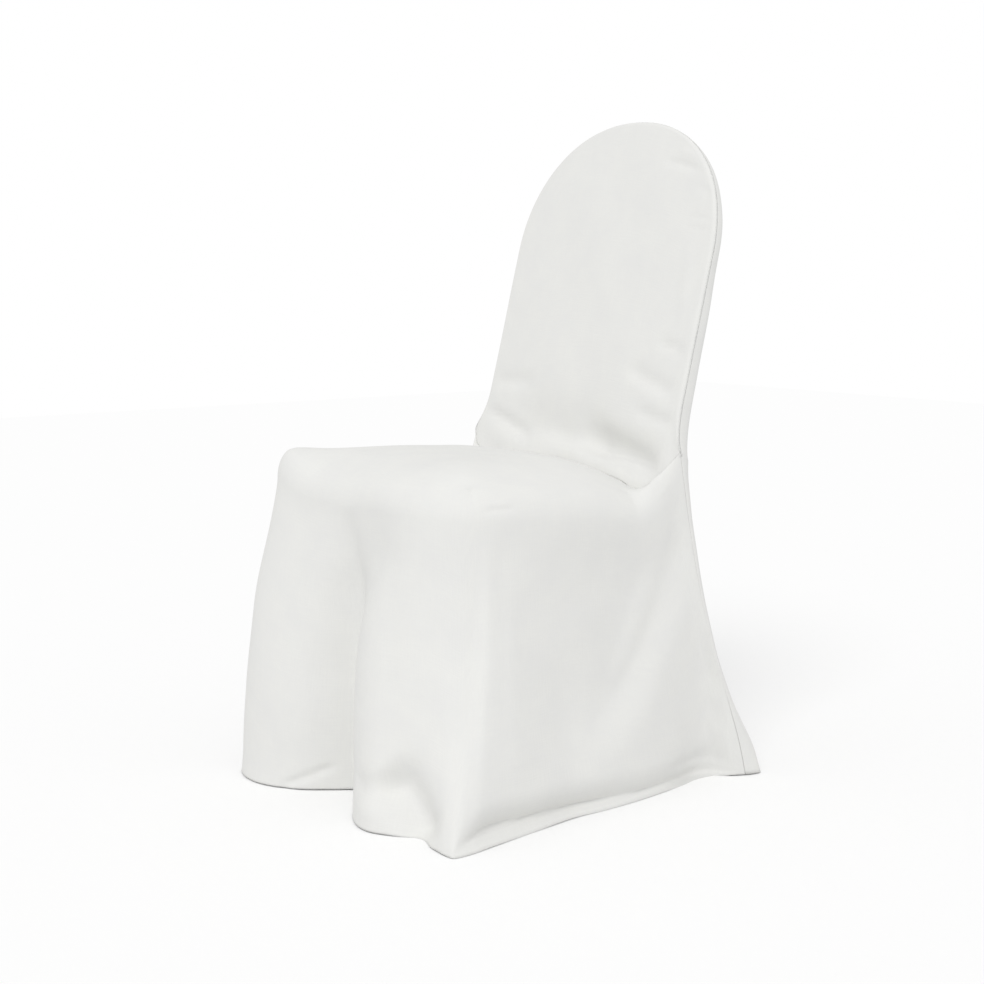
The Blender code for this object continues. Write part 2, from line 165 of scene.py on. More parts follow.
# Hem of the skirt from the rear left seam by the front to the rear right seam: run, x, y
HEM = np.array([
    (0.00, -0.2205, 0.318),
    (0.04, -0.2060, 0.292),
    (0.10, -0.1980, 0.255),
    (0.20, -0.2020, 0.200),
    (0.36, -0.2120, 0.110),
    (0.54, -0.2200, 0.010),
    (0.72, -0.2340, -0.090),
    (0.86, -0.2500, -0.170),
    (0.95, -0.2600, -0.218),
    (1.00, -0.2540, -0.241),
    (1.06, -0.2250, -0.257),
    (1.14, -0.1800, -0.262),
    (1.22, -0.1420, -0.251),
    (1.30, -0.1070, -0.227),
    (1.37, -0.0800, -0.193),
    (1.42, -0.0620, -0.171),
    (1.46, -0.0420, -0.168),
    (1.50, -0.0150, -0.198),
    (1.55, 0.0300, -0.237),
    (1.60, 0.0700, -0.259),
    (1.66, 0.1070, -0.264),
    (1.72, 0.1380, -0.252),
    (1.80, 0.1800, -0.240),
    (1.88, 0.2170, -0.239),
    (1.95, 0.2480, -0.243),
    (2.00, 0.2640, -0.240),
    (2.05, 0.2650, -0.216),
    (2.12, 0.2570, -0.175),
    (2.22, 0.2470, -0.120),
    (2.34, 0.2360, -0.062),
    (2.46, 0.2270, -0.008),
    (2.58, 0.2260, 0.047),
    (2.70, 0.2210, 0.107),
    (2.80, 0.2130, 0.160),
    (2.88, 0.2030, 0.210),
    (2.94, 0.1950, 0.258),
    (2.97, 0.2030, 0.290),
    (3.00, 0.2205, 0.318),
])

# How far the skirt moves from its plain fall at mid-height: run, x, y
MIDWAY = np.array([
    (0.00, 0.0000, 0.0000),
    (1.65, 0.0000, 0.0000),
    (1.75, 0.0000, 0.0040),
    (1.85, -0.0020, 0.0105),
    (1.92, -0.0030, 0.0110),
    (2.00, -0.0075, 0.0080),
    (2.08, -0.0030, 0.0035),
    (2.16, 0.0020, 0.0000),
    (2.28, 0.0000, 0.0000),
    (3.00, 0.0000, 0.0000),
])

# Soft valley in the front: height, place of its middle across, half-width, depth
VALLEY = np.array([
    (0.000, -0.056, 0.036, 0.000),
    (0.100, -0.052, 0.038, 0.008),
    (0.200, -0.046, 0.042, 0.015),
    (0.290, -0.016, 0.055, 0.018),
    (0.350, 0.026, 0.058, 0.013),
    (0.410, 0.040, 0.050, 0.000),
    (0.500, 0.040, 0.050, 0.000),
])

# Height of the lip turned out along the hem of the right side: run, height
LIP = np.array([
    (2.00, 0.0090),
    (2.08, 0.0150),
    (2.16, 0.0165),
    (2.28, 0.0130),
    (2.42, 0.0110),
    (2.64, 0.0090),
    (2.80, 0.0050),
    (3.00, 0.0040),
])

# Skirt details
LIP_OUT = 0.024
LIP_LEFT_SHARE = 0.3
BULGE_HEIGHT = 0.085
BULGE_RISE = 0.042
SIDE_INSET = 0.004
SET_IN_Y = -0.140
SET_IN_Z = 0.412
SIDE_LATE = 0.7
FRONT_EARLY = 0.2
VALLEY_EARLY = 0.40
CORNER_LATE = 0.9
DRAG_DEPTH = 0.013
DRAG_RISE = 0.095
DRAG_BOW = 0.008
DRAG_TOP = (0.166, 0.410)
DRAG_LOW = (0.034, 0.100)

# Cells across, cells along and rows of the border for each panel
INSIDE_CELLS = (64, 84, 8)
OUTSIDE_CELLS = (72, 150, 14)
SEAT_CELLS = (96, 84, 100)

LEAN_DEPTH = np.array([0.0, np.cos(BACK_LEAN), -np.sin(BACK_LEAN)])


def smooth(x):
    """A soft step from 0 to 1 while x goes from 0 to 1: x squared times three less two x."""
    x = np.clip(x, 0.0, 1.0)
    return x * x * (3.0 - 2.0 * x)


def along(rows, x, column):
    """A smooth curve through one column of a table whose first column is x."""
    t, y = rows[:, 0], rows[:, column]
    slope = np.gradient(y, t)
    i = np.clip(np.searchsorted(t, x, side="right") - 1, 0, len(t) - 2)
    step = t[i + 1] - t[i]
    k = np.clip((x - t[i]) / step, 0.0, 1.0)
    start = y[i] * (1 + 2 * k) * (1 - k) ** 2 + slope[i] * step * k * (1 - k) ** 2
    end = y[i + 1] * k * k * (3 - 2 * k) + slope[i + 1] * step * k * k * (k - 1)
    return start + end


def on_back(x, s, depth):
    """The point at width x and height s along the leaning back, depth behind its front."""
    y = BACK_FRONT_Y + s * np.sin(BACK_LEAN) + depth * np.cos(BACK_LEAN)
    z = BACK_BASE_Z + s * np.cos(BACK_LEAN) - depth * np.sin(BACK_LEAN)
    return np.stack([x, y, z], axis=-1)


def thickness(s):
    """How thick the back is at height s: a straight line from its foot to its top."""
    share = np.clip(s / BACK_LENGTH, 0.0, 1.0)
    return BACK_THICK_LOW + (BACK_THICK_TOP - BACK_THICK_LOW) * share


def arch_share(b):
    """How far b is along the arch, from 0 where it springs to 1 at the crown."""
    return np.clip((b - ARCH_SHARE) / (1.0 - ARCH_SHARE), 0.0, 1.0)


def round_top(a, b, inset):
    """Width and height on the back: straight sides, then a square drawn onto a superellipse."""
    p = BACK_ROUNDNESS
    c = arch_share(b)
    x = (BACK_HALF_W - inset) * a * (1 - c ** p / 2) ** (1 / p)
    rise = BACK_LENGTH - inset - BACK_STRAIGHT
    arch = BACK_STRAIGHT + rise * c * (1 - np.abs(a) ** p / 2) ** (1 / p)
    s = np.where(b < ARCH_SHARE, BACK_STRAIGHT * b / ARCH_SHARE, arch)
    left = LEFT_FLARE * smooth((0.10 - s) / 0.10) * np.clip(-a, 0, 1) ** 3
    return x - left, s


def near_junction(s):
    """How strongly a point at height s is drawn to where the three panels meet: a falling square."""
    return np.clip(1 - s / JUNCTION_REACH, 0.0, 1.0) ** 2


def inside_back(a, b, v):
    """The padded front of the back.

    The round top lies on the leaning plate, raised by a crown of one less a squared and sunk by a
    bell-shaped hollow. As v grows the inset and the depth follow a quarter circle round the edge.
    The foot is moved to the crease, by a share that falls as a square up to JUNCTION_REACH."""
    turn = np.clip(v / 0.8, 0.0, 1.0) * np.pi / 2
    inset = BACK_EDGE_R * (1 - np.sin(turn))
    last = BACK_EDGE_END * np.clip((v - 0.8) / 0.2, 0.0, 1.0)
    depth = (BACK_EDGE_R - BACK_EDGE_END - SEAM_GAP / 2) * (1 - np.cos(turn)) + last
    x, s = round_top(a, b, inset)
    crown = BACK_CROWN * (1 - a ** 2) * (1 - arch_share(b) ** 2) ** 0.8
    across = (x - HOLLOW_X) / HOLLOW_HALF_W
    upward = (s - HOLLOW_S + HOLLOW_TILT * (x - HOLLOW_X)) / HOLLOW_HALF_H
    hollow = HOLLOW_DEPTH * np.exp(-across ** 2 - upward ** 2) * (1 - a ** 2)
    p = on_back(x, s, depth - crown + hollow)
    base_x, base_s = round_top(a, 0 * b, inset)
    base = on_back(base_x, base_s, depth - BACK_CROWN * (1 - a ** 2))
    foot = np.stack([along(CREASE, a, i) for i in (1, 2, 3)], axis=-1)
    foot[..., 0] += FOOT_LAP * np.sign(a) * smooth((np.abs(a) - 0.75) / 0.2)
    foot[..., 2] += SEAM_GAP
    return p + (foot - base) * near_junction(s)[..., None]


def outside_back(a, b, v):
    """The back panel, hung from its corner lines, with a side band that goes to the seam as v grows.

    Below b = 0.5 the corner and the seam come from their tables, above it from the round top. The
    band is a cubic curve from corner to seam that leaves outwards and arrives along the skirt. The
    middle hangs back by its table times a power of one less a squared, and cosine waves are added
    that grow towards the hem."""
    side = np.where(a < 0, -1.0, 1.0)
    up = np.clip((b - 0.5) * 2, 0.0, 1.0)
    drop = 1 - np.clip(b * 2, 0.0, 1.0)
    share = 1 - drop
    low = b < 0.5
    x, s = round_top(a, up, BACK_EDGE_R)
    seam_x, seam_s = round_top(a, up, 0.0)
    front = BACK_EDGE_R + SEAM_GAP / 2
    corner_high = on_back(x, s, thickness(s))
    seam_high = on_back(seam_x, seam_s, front)
    out_high = seam_high - on_back(x, s, front)
    level_x, level_s = round_top(a, 0 * b, BACK_EDGE_R)
    corner_level = on_back(level_x, level_s, thickness(level_s))
    level_x, level_s = round_top(a, 0 * b, 0.0)
    seam_level = on_back(level_x, level_s, front)
    corner_low = column(REAR_CORNER, share, side)
    seam_low = column(SIDE_SEAM, share, side)
    corner_low[..., 0] *= np.abs(a)
    corner_top = column(REAR_CORNER, 0 * share + 1, side)
    seam_top = column(SIDE_SEAM, 0 * share + 1, side)
    corner_top[..., 0] *= np.abs(a)
    seam_top[..., 0] *= np.abs(a)
    corner_high = corner_high + (corner_top - corner_level) * near_junction(s)[..., None]
    seam_high = seam_high + (seam_top - seam_level) * near_junction(seam_s)[..., None]
    corner = np.where(low[..., None], corner_low, corner_high)
    seam = np.where(low[..., None], seam_low, seam_high)
    out_low = np.stack([side, 0 * side, 0 * side], axis=-1)
    out = np.where(low[..., None], out_low, out_high)
    out = out / (np.linalg.norm(out, axis=-1, keepdims=True) + 1e-9)
    skirt = hanging(side, 0 * b + 0.05, drop) - hanging(side, 0 * b, drop)
    skirt[..., 2] = 0
    skirt = skirt / np.linalg.norm(skirt, axis=-1, keepdims=True)
    hold = np.where(low, 1.0, near_junction(seam_s))[..., None]
    fore = skirt * hold - LEAN_DEPTH * (1 - hold)
    width = np.linalg.norm(seam - corner, axis=-1, keepdims=True)
    k = v[..., None]
    band = corner * (1 + 2 * k) * (1 - k) ** 2 + seam * k * k * (3 - 2 * k)
    band = band + out * width * 0.9 * k * (1 - k) ** 2 + fore * width * k * k * (k - 1)
    middle = np.clip(1 - a ** 2, 0, 1)
    away = along(REAR_HANG, corner[..., 2], 1) - corner[..., 1]
    hang = np.where(low, away, np.maximum(away, 0.0) + REAR_LOOSE * smooth(up)) * middle ** 1.8
    waves = sum(depth * np.cos(turns * np.pi * a + start) for depth, turns, start in REAR_WAVES)
    hang = hang * (1 - arch_share(up) ** 2) + np.where(low, waves * drop ** 1.2 * middle, 0.0)
    band[..., 1] += hang
    band[..., 2] += np.where(low, HEM_Z * drop ** 4, 0.0)
    return band


def column(rows, share, side):
    """A point at a share of the height of one of the upright lines given by a table."""
    z = share * rows[-1, 0]
    left = np.where(side < 0, smooth((z - 0.28) / 0.17), 0.0)
    x = side * (along(rows, z, 1) + LEFT_SHIFT[0] * left)
    return np.stack([x, along(rows, z, 2) - LEFT_SHIFT[1] * left, z], axis=-1)


def seat_face(a, b):
    """The top of the seat.

    A square with its corners drawn in by a power of a times b, crowned, with its rim let down by a
    root of the summed high powers of how near the side and the front are. Its rear is let down by a
    square, and its rear edge is moved to the crease by a share that falls as a square."""
    corner = np.where(a < 0, SEAT_CORNER_LEFT, SEAT_CORNER_RIGHT)
    pull = 1 - corner * (np.abs(a) * b) ** ((1 - corner) / (2 * corner))
    x = SEAT_HALF_W * a * pull
    y = SEAT_REAR_Y + (SEAT_FRONT_Y - SEAT_REAR_Y) * b * pull
    left_front = smooth(-a) * b
    x = x - LEFT_FRONT_OUT[0] * left_front
    y = y - LEFT_FRONT_OUT[1] * left_front
    slope = (SEAT_FRONT_Z - SEAT_REAR_Z) / (SEAT_REAR_Y - SEAT_FRONT_Y)
    front = np.clip((b - 0.45) / 0.55, 0.0, 1.0)
    side = np.clip((np.abs(a) - 0.25) / 0.75, 0.0, 1.0)
    rim = (side ** 15 + front ** 20) ** (1 / 5)
    rim = rim * (1 - 0.7 * smooth((-a - 0.5) / 0.5) * smooth((b - 0.5) / 0.5))
    rear = REAR_FALL[0] + REAR_FALL[1] * smooth((a + 0.2) / 0.7)
    back = np.clip(1 - b / REAR_REACH, 0.0, 1.0) ** 2
    z = SEAT_REAR_Z + slope * (SEAT_REAR_Y - y) + SEAT_CROWN - SEAT_RIM_FALL * rim - rear * back
    p = np.stack([x, y, z], axis=-1)
    base_z = SEAT_REAR_Z + SEAT_CROWN - SEAT_RIM_FALL * side ** 3 - rear
    base = np.stack([SEAT_HALF_W * a, SEAT_REAR_Y + 0 * a, base_z], axis=-1)
    crease = np.stack([along(CREASE, a, i) for i in (1, 2, 3)], axis=-1)
    low = np.clip(1 - b / CREASE_REACH, 0.0, 1.0) ** 2
    return p + (crease - base) * low[..., None]


def fall(v, top):
    """The share of the way down to the floor at border row v, for an edge at height top."""
    first = SEAT_EDGE_DOWN / top
    last = 1 - BULGE_HEIGHT / top
    round_part = first * (1 - np.cos(np.clip(v, 0, 0.25) * 2 * np.pi))
    straight = (last - first) * np.clip((v - 0.25) / 0.5, 0.0, 1.0)
    return round_part + straight + (1 - last) * np.clip((v - 0.75) / 0.25, 0.0, 1.0)


def seat_skirt(a, b, v):
    """The seat where v = 0, and the skirt that falls from its edge to the hem at v = 1."""
    return hanging(a, b, fall(v, seat_face(a, b)[..., 2]))


def hanging(a, b, drop):
    """The cloth below the seat's edge.

    A quarter ellipse turns it over the edge, then it goes out to the hem's curve by a power of how
    far it has hung, with a higher power at the side and the corner than in the front valley. The
    valley is a bell curve pushed in. Above the hem a groove follows the table of the lip, and at
    the rear end the cloth is drawn onto the side seam."""
    top = seat_face(a, b)
    z = top[..., 2] * (1 - drop)
    turned = np.clip(drop * top[..., 2] / SEAT_EDGE_DOWN, 0.0, 1.0)
    start = edge_slope(a, b, top) * SEAT_EDGE_OUT
    start = start / (SEAT_EDGE_DOWN - start)
    level = np.sqrt(1 - start ** 2) * (1 - turned)
    out = SEAT_EDGE_OUT * (np.sqrt(1 - level ** 2) - start) / (1 - start)
    half = np.abs(SEAT_FRONT_Y)
    dx = np.sign(a) * np.abs(top[..., 0] / SEAT_HALF_W) ** 5 / SEAT_HALF_W
    dy = -np.clip(-top[..., 1] / half, 0.0, 2.0) ** 5 / half
    size = np.sqrt(dx ** 2 + dy ** 2) + 1e-9
    dx, dy = dx / size, dy / size
    right = (a >= 1.0) & (b < 1.0)
    left = (a <= -1.0) & (b < 1.0)
    run = np.where(left, b, np.where(right, 3.0 - b, 1.5 + a / 2))
    hang = np.clip((top[..., 2] - SEAT_EDGE_DOWN - z) / (top[..., 2] - SEAT_EDGE_DOWN), 0.0, 1.0)
    late = np.where(run > 2, smooth((run - 2.06) / 0.12) * smooth((2.97 - run) / 0.2), 0.0)
    early = smooth((run - 0.8) / 0.2) * smooth((1.2 - run) / 0.2)
    valley = np.exp(-((run - 1.43) / 0.10) ** 2)
    corner = np.exp(-((run - 2.0) / 0.13) ** 2)
    begin = hang * hang * 1.06 / (hang + 0.06)
    power = 1 + SIDE_LATE * late - FRONT_EARLY * early - VALLEY_EARLY * valley + CORNER_LATE * corner
    ease = begin ** power
    edge_x = top[..., 0] + SEAT_EDGE_OUT * dx
    edge_y = top[..., 1] + SEAT_EDGE_OUT * dy
    x = top[..., 0] + out * dx + (along(HEM, run, 1) - edge_x) * ease
    y = top[..., 1] + out * dy + (along(HEM, run, 2) - edge_y) * ease
    under = smooth(hang / 0.16) * (1 - hang) ** 1.5
    inset = SIDE_INSET * late * under
    lip = np.where(run > 2, along(LIP, run, 1), 0.5 * BULGE_HEIGHT)
    rise = (1 - np.clip((z - lip) / BULGE_RISE, 0.0, 1.0)) ** 2
    groove = LIP_OUT * np.where(z < lip, z / lip, rise) * (1 - 0.35 * smooth((run - 2.35) / 0.4))
    hem_right = smooth((run - 1.98) / 0.14) * smooth((3.02 - run) / 0.12)
    hem_left = LIP_LEFT_SHARE * smooth((0.98 - run) / 0.1) * smooth(run / 0.1)
    inset = inset + groove * (hem_right + hem_left) + drag(y, z) * (run > 2)
    midway = smooth(hang / 0.42) * smooth((1 - hang) / 0.36)
    x = x - inset * dx + midway * along(MIDWAY, run, 1)
    y = y - inset * dy + midway * along(MIDWAY, run, 2)
    across = (x - along(VALLEY, z, 1)) / along(VALLEY, z, 2)
    front = (run > 1) & (run < 2)
    y = y + np.where(front, along(VALLEY, z, 3) * np.exp(-across ** 2), 0.0)
    hold = np.where(np.abs(a) >= 1.0, np.clip(1 - b / CREASE_REACH, 0.0, 1.0) ** 2, 0.0)
    side = np.where(a < 0, -1.0, 1.0)
    seam = column(SIDE_SEAM, 1 - drop, side) - column(SIDE_SEAM, 1 + 0 * drop, side)
    x = top[..., 0] + (1 - hold) * (x - top[..., 0]) + hold * seam[..., 0]
    y = top[..., 1] + (1 - hold) * (y - top[..., 1]) + hold * (seam[..., 1] - SEAM_GAP)
    return np.stack([x, y, z + HEM_Z * drop ** 4], axis=-1)


def edge_slope(a, b, top):
    """How steeply the seat already falls where its edge begins: drop over distance, just inside it."""
    at_side = np.abs(a) >= 1.0
    inner = seat_face(np.where(at_side, 0.98 * a, a), np.where((b >= 1.0) & ~at_side, 0.98, b))
    away = np.hypot(inner[..., 0] - top[..., 0], inner[..., 1] - top[..., 1]) + 1e-9
    return np.clip((inner[..., 2] - top[..., 2]) / away, 0.0, 0.85)


def drag(y, z):
    """The valley pulled across the right side.

    The soft lesser of a slow ramp in to a slanting, bowed line and a wider one out of it, faded
    away by soft steps below the seat's edge and above the hem."""
    ty, tz = DRAG_TOP
    ly, lz = DRAG_LOW
    up = (z - lz) / (tz - lz)
    line = ly + up * (ty - ly) + 4 * DRAG_BOW * np.clip(up * (1 - up), -0.2, 1.0)
    ramp = np.clip((y - SET_IN_Y) / (line - SET_IN_Y), -0.5, 2.0)
    out = 1 - np.clip((y - line) / DRAG_RISE, -2.0, 1.5)
    valley = (ramp + out - np.sqrt((ramp - out) ** 2 + 0.03)) / 2
    valley = smooth(valley * 0.5 + 0.08) * 2.2 - 0.04
    top = SET_IN_Z - 0.030 * np.exp(-np.clip((y - SET_IN_Y) / 0.035, 0.0, 9.0))
    return DRAG_DEPTH * np.clip(valley, 0.0, None) * smooth((top - z) / 0.13) * smooth((z - 0.05) / 0.12)


def unit(vectors):
    """Vectors divided by their own length."""
    return vectors / (np.linalg.norm(vectors, axis=-1, keepdims=True) + 1e-12)


def vertex_normals(points, quads):
    """The cross product of each quad's diagonals, added up at its corners and made one long."""
    cross = np.cross(points[quads[:, 2]] - points[quads[:, 0]], points[quads[:, 3]] - points[quads[:, 1]])
    total = np.zeros_like(points)
    for corner in range(4):
        np.add.at(total, quads[:, corner], cross)
    return unit(total)


def panel_grid(cells, place):
    """A panel's face as a grid, and its border as rows round the left, far and right edges.

    Returns the points, the quads, each quad corner's place on the flat cloth in metres, the face's
    and the border's vertex numbers, and how far down the border each of its points lies."""
    nx, ny, nb = cells
    b, a = np.meshgrid(np.linspace(0, 1, ny + 1), np.linspace(-1, 1, nx + 1), indexing="ij")
    face_points = place(a, b, np.zeros_like(a))
    face = np.arange(a.size).reshape(a.shape)
    count = 2 * ny + nx
    run = np.arange(count + 1)
    rows = np.linspace(0, 1, nb + 1)[1:, None]
    ring_a = np.clip((run - ny) / nx, 0.0, 1.0) * 2 - 1 + 0 * rows
    ring_b = np.clip(np.minimum(run, count - run) / ny, 0.0, 1.0) + 0 * rows
    ring_points = place(ring_a, ring_b, rows + 0 * ring_a)
    edge = np.concatenate([face[:, 0], face[-1, 1:], face[-2::-1, -1]])
    ring = np.vstack([edge, face.size + np.arange(ring_a.size).reshape(ring_a.shape)])
    points = np.concatenate([face_points.reshape(-1, 3), ring_points.reshape(-1, 3)])
    across = np.linalg.norm(np.diff(face_points, axis=1), axis=-1)
    upward = np.linalg.norm(np.diff(face_points, axis=0), axis=-1)
    flat_u = np.pad(np.cumsum(across, axis=1), ((0, 0), (1, 0)))
    flat_v = np.pad(np.cumsum(upward, axis=0), ((1, 0), (0, 0)))
    flat = np.stack([flat_u - flat_u[:, -1:] / 2, flat_v], axis=-1).reshape(-1, 2)
    steps = np.linalg.norm(np.diff(points[ring], axis=0), axis=-1)
    down = np.pad(np.cumsum(steps, axis=0), ((1, 0), (0, 0)))
    ways = np.array([(-1, 0), (0, 1), (1, 0)])
    parts = flat[edge] + down[None, ..., None] * ways[:, None, None]
    part = np.select([run[:-1] < ny, run[:-1] < ny + nx], [0, 1], 2)
    level = np.arange(nb)[:, None]
    corners = ((0, 0), (0, 1), (1, 1), (1, 0))
    ring_flat = np.stack([parts[part, level + i, run[:-1] + j] for i, j in corners], axis=-2)
    quads = np.concatenate([quads_of(face), quads_of(ring)])
    flat = np.concatenate([flat[quads_of(face)], ring_flat.reshape(-1, 4, 2)])
    return points, quads, flat, face, ring, down


def quads_of(numbers):
    """The four vertex numbers round every cell of a grid of them."""
    cells = (numbers[:-1, :-1], numbers[:-1, 1:], numbers[1:, 1:], numbers[1:, :-1])
    return np.stack(cells, axis=-1).reshape(-1, 4)


def turned_in(points, quads, flat, path, inner, closed, into):
    """A seam allowance: the sewn edge rolls over a small quarter circle, then goes straight inside."""
    normals = vertex_normals(points, quads)[path]
    line = points[path]
    ahead = np.roll(line, -1, axis=0) - np.roll(line, 1, axis=0) if closed else np.gradient(line, axis=0)
    over = unit(np.cross(ahead, normals))
    if (over * (line - points[inner])).sum() < 0:
        over = -over
    into = np.where(np.any(into != 0, axis=-1, keepdims=True), into, -normals)
    start = line - over * SEAM_ROUND
    points = points.copy()
    points[path] = start
    turns = np.array([0.5, 1.1, np.pi / 2, np.pi / 2])[:, None, None]
    deep = np.array([0.0, 0.0, 0.0, SEAM_TURN])[:, None, None]
    added = start + over * SEAM_ROUND * np.sin(turns) + into * (SEAM_ROUND * (1 - np.cos(turns)) + deep)
    rows = np.vstack([path, len(points) + np.arange(added.shape[0] * len(path)).reshape(-1, len(path))])
    length = np.pad(np.cumsum(np.linalg.norm(np.diff(line, axis=0), axis=-1)), (1, 0))
    if closed:
        rows = np.hstack([rows, rows[:, :1]])
        length = np.append(length, length[-1] + 0.002)
    level = np.array([0.0, 0.0005, 0.0010, 0.0014, 0.0014 + SEAM_TURN])
    strip_flat = np.stack(np.meshgrid(length, level), axis=-1).reshape(-1, 2)
    strip_numbers = np.arange(rows.size).reshape(rows.shape)
    points = np.concatenate([points, added.reshape(-1, 3)])
    strip, strip_flat = quads_of(rows), strip_flat[quads_of(strip_numbers)]
    first = strip[:rows.shape[1] - 1]
    faces = np.cross(points[first[:, 2]] - points[first[:, 0]], points[first[:, 3]] - points[first[:, 1]])
    if (faces * normals[:len(first)]).sum() < 0:
        strip, strip_flat = strip[:, ::-1], strip_flat[:, ::-1]
    return points, np.concatenate([quads, strip]), np.concatenate([flat, strip_flat])


def fold_height(points, normals, row):
    """A trough or ridge along a line bowed as a parabola.

    Across the line it is a bell curve, exp of minus the squared distance over the squared width,
    with its own width on each side. Soft steps taper it over 0.3 of its length at both ends."""
    start, end, (bow, wide_left, wide_right, height) = row[:3], row[3:6], row[6:]
    reach = np.linalg.norm(end - start) / 2 + 3 * max(wide_left, wide_right) + abs(bow)
    away = np.linalg.norm(points - (start + end) / 2, axis=-1)
    near = np.flatnonzero(away < reach)
    sideways = unit(np.cross(normals[np.argmin(away)], end - start))
    t = np.linspace(0, 1, 17)[:, None]
    line = start + (end - start) * t + 4 * bow * t * (1 - t) * sideways
    step = np.diff(line, axis=0)
    from_line = points[near, None] - line[:-1]
    share = np.clip((from_line * step).sum(-1) / (step ** 2).sum(-1), 0.0, 1.0)
    offset = from_line - share[..., None] * step
    lift = (offset * normals[near, None]).sum(-1)
    distance = (offset ** 2).sum(-1) - lift ** 2 + (np.abs(lift) > 0.04)
    pick = np.argmin(distance, axis=1)
    each = np.arange(len(near))
    place = (pick + share[each, pick]) / len(step)
    wide = np.where(offset[each, pick] @ sideways > 0, wide_left, wide_right)
    bell = np.exp(-np.clip(distance[each, pick], 0.0, None) / wide ** 2)
    out = np.zeros(len(points))
    out[near] = height * bell * smooth(place / 0.3) * smooth((1 - place) / 0.3)
    return out


def unevenness(points):
    """How far loose cloth strays from a true surface: a few long waves in slanting directions."""
    total = np.zeros(len(points))
    for wave_x, wave_y, wave_z, start, height in WAVES:
        total += height * np.sin(points @ np.array([wave_x, wave_y, wave_z]) + start)
    return total


# Slow waves of the loose cloth: radians per metre in x, y and z, start, height
WAVES = np.array([
    (31.0, 17.0, 22.0, 0.4, 0.00035),
    (-23.0, 38.0, 14.0, 1.9, 0.00035),
    (47.0, -29.0, 33.0, 3.1, 0.00022),
    (12.0, 21.0, -58.0, 0.9, 0.00022),
    (-71.0, 44.0, 26.0, 2.2, 0.00012),
    (52.0, 63.0, -79.0, 4.0, 0.00010),
])

# Folds of each panel: start x, y, z, end x, y, z, bow, width on the side the bow goes to, width on
# the other side, height
INSIDE_FOLDS = np.array([
    (0.105, 0.275, 0.894, 0.160, 0.275, 0.884, 0.000, 0.008, 0.007, 0.0011),
    (0.078, 0.270, 0.883, 0.166, 0.269, 0.864, 0.001, 0.005, 0.007, -0.0022),
    (0.160, 0.262, 0.842, 0.196, 0.262, 0.833, 0.000, 0.006, 0.007, -0.0012),
    (0.158, 0.251, 0.801, 0.203, 0.251, 0.796, 0.000, 0.003, 0.004, -0.0009),
    (0.158, 0.246, 0.788, 0.204, 0.247, 0.782, 0.000, 0.003, 0.004, -0.0010),
    (0.163, 0.244, 0.778, 0.202, 0.245, 0.775, 0.000, 0.003, 0.003, -0.0006),
    (0.172, 0.242, 0.770, 0.184, 0.214, 0.655, 0.000, 0.007, 0.009, 0.0014),
    (0.142, 0.203, 0.628, 0.207, 0.203, 0.612, 0.001, 0.007, 0.006, -0.0036),
    (0.090, 0.192, 0.592, 0.206, 0.189, 0.555, -0.003, 0.013, 0.008, -0.0048),
    (0.120, 0.190, 0.560, 0.190, 0.188, 0.542, 0.000, 0.010, 0.014, 0.0014),
    (0.126, 0.177, 0.528, 0.212, 0.179, 0.515, 0.001, 0.008, 0.006, -0.0050),
    (0.006, 0.166, 0.482, 0.212, 0.166, 0.444, 0.004, 0.025, 0.012, -0.0180),
    (-0.060, 0.164, 0.480, 0.110, 0.165, 0.476, 0.000, 0.018, 0.010, -0.0060),
    (0.060, 0.161, 0.458, 0.180, 0.159, 0.434, 0.004, 0.008, 0.010, 0.0020),
    (-0.160, 0.172, 0.492, 0.100, 0.170, 0.496, 0.000, 0.036, 0.020, -0.0100),
    (-0.218, 0.186, 0.554, -0.095, 0.184, 0.559, 0.000, 0.012, 0.010, -0.0040),
    (-0.220, 0.176, 0.510, -0.080, 0.164, 0.464, 0.008, 0.010, 0.007, -0.0060),
    (-0.205, 0.168, 0.488, -0.130, 0.163, 0.462, 0.002, 0.010, 0.020, 0.0020),
])
OUTSIDE_FOLDS = np.array([
    (0.150, 0.270, 0.470, 0.060, 0.300, 0.380, 0.010, 0.020, 0.016, -0.0050),
    (-0.130, 0.260, 0.500, -0.070, 0.300, 0.360, -0.008, 0.016, 0.020, -0.0045),
    (0.120, 0.275, 0.560, -0.040, 0.296, 0.520, 0.006, 0.018, 0.014, -0.0030),
    (0.185, 0.300, 0.300, 0.150, 0.330, 0.040, 0.006, 0.016, 0.020, -0.0060),
    (-0.180, 0.300, 0.280, -0.140, 0.330, 0.030, -0.006, 0.020, 0.016, -0.0060),
    (-0.150, 0.290, 0.700, -0.175, 0.270, 0.640, 0.000, 0.008, 0.008, -0.0014),
    (0.150, 0.300, 0.720, 0.180, 0.280, 0.665, 0.000, 0.008, 0.008, -0.0014),
])
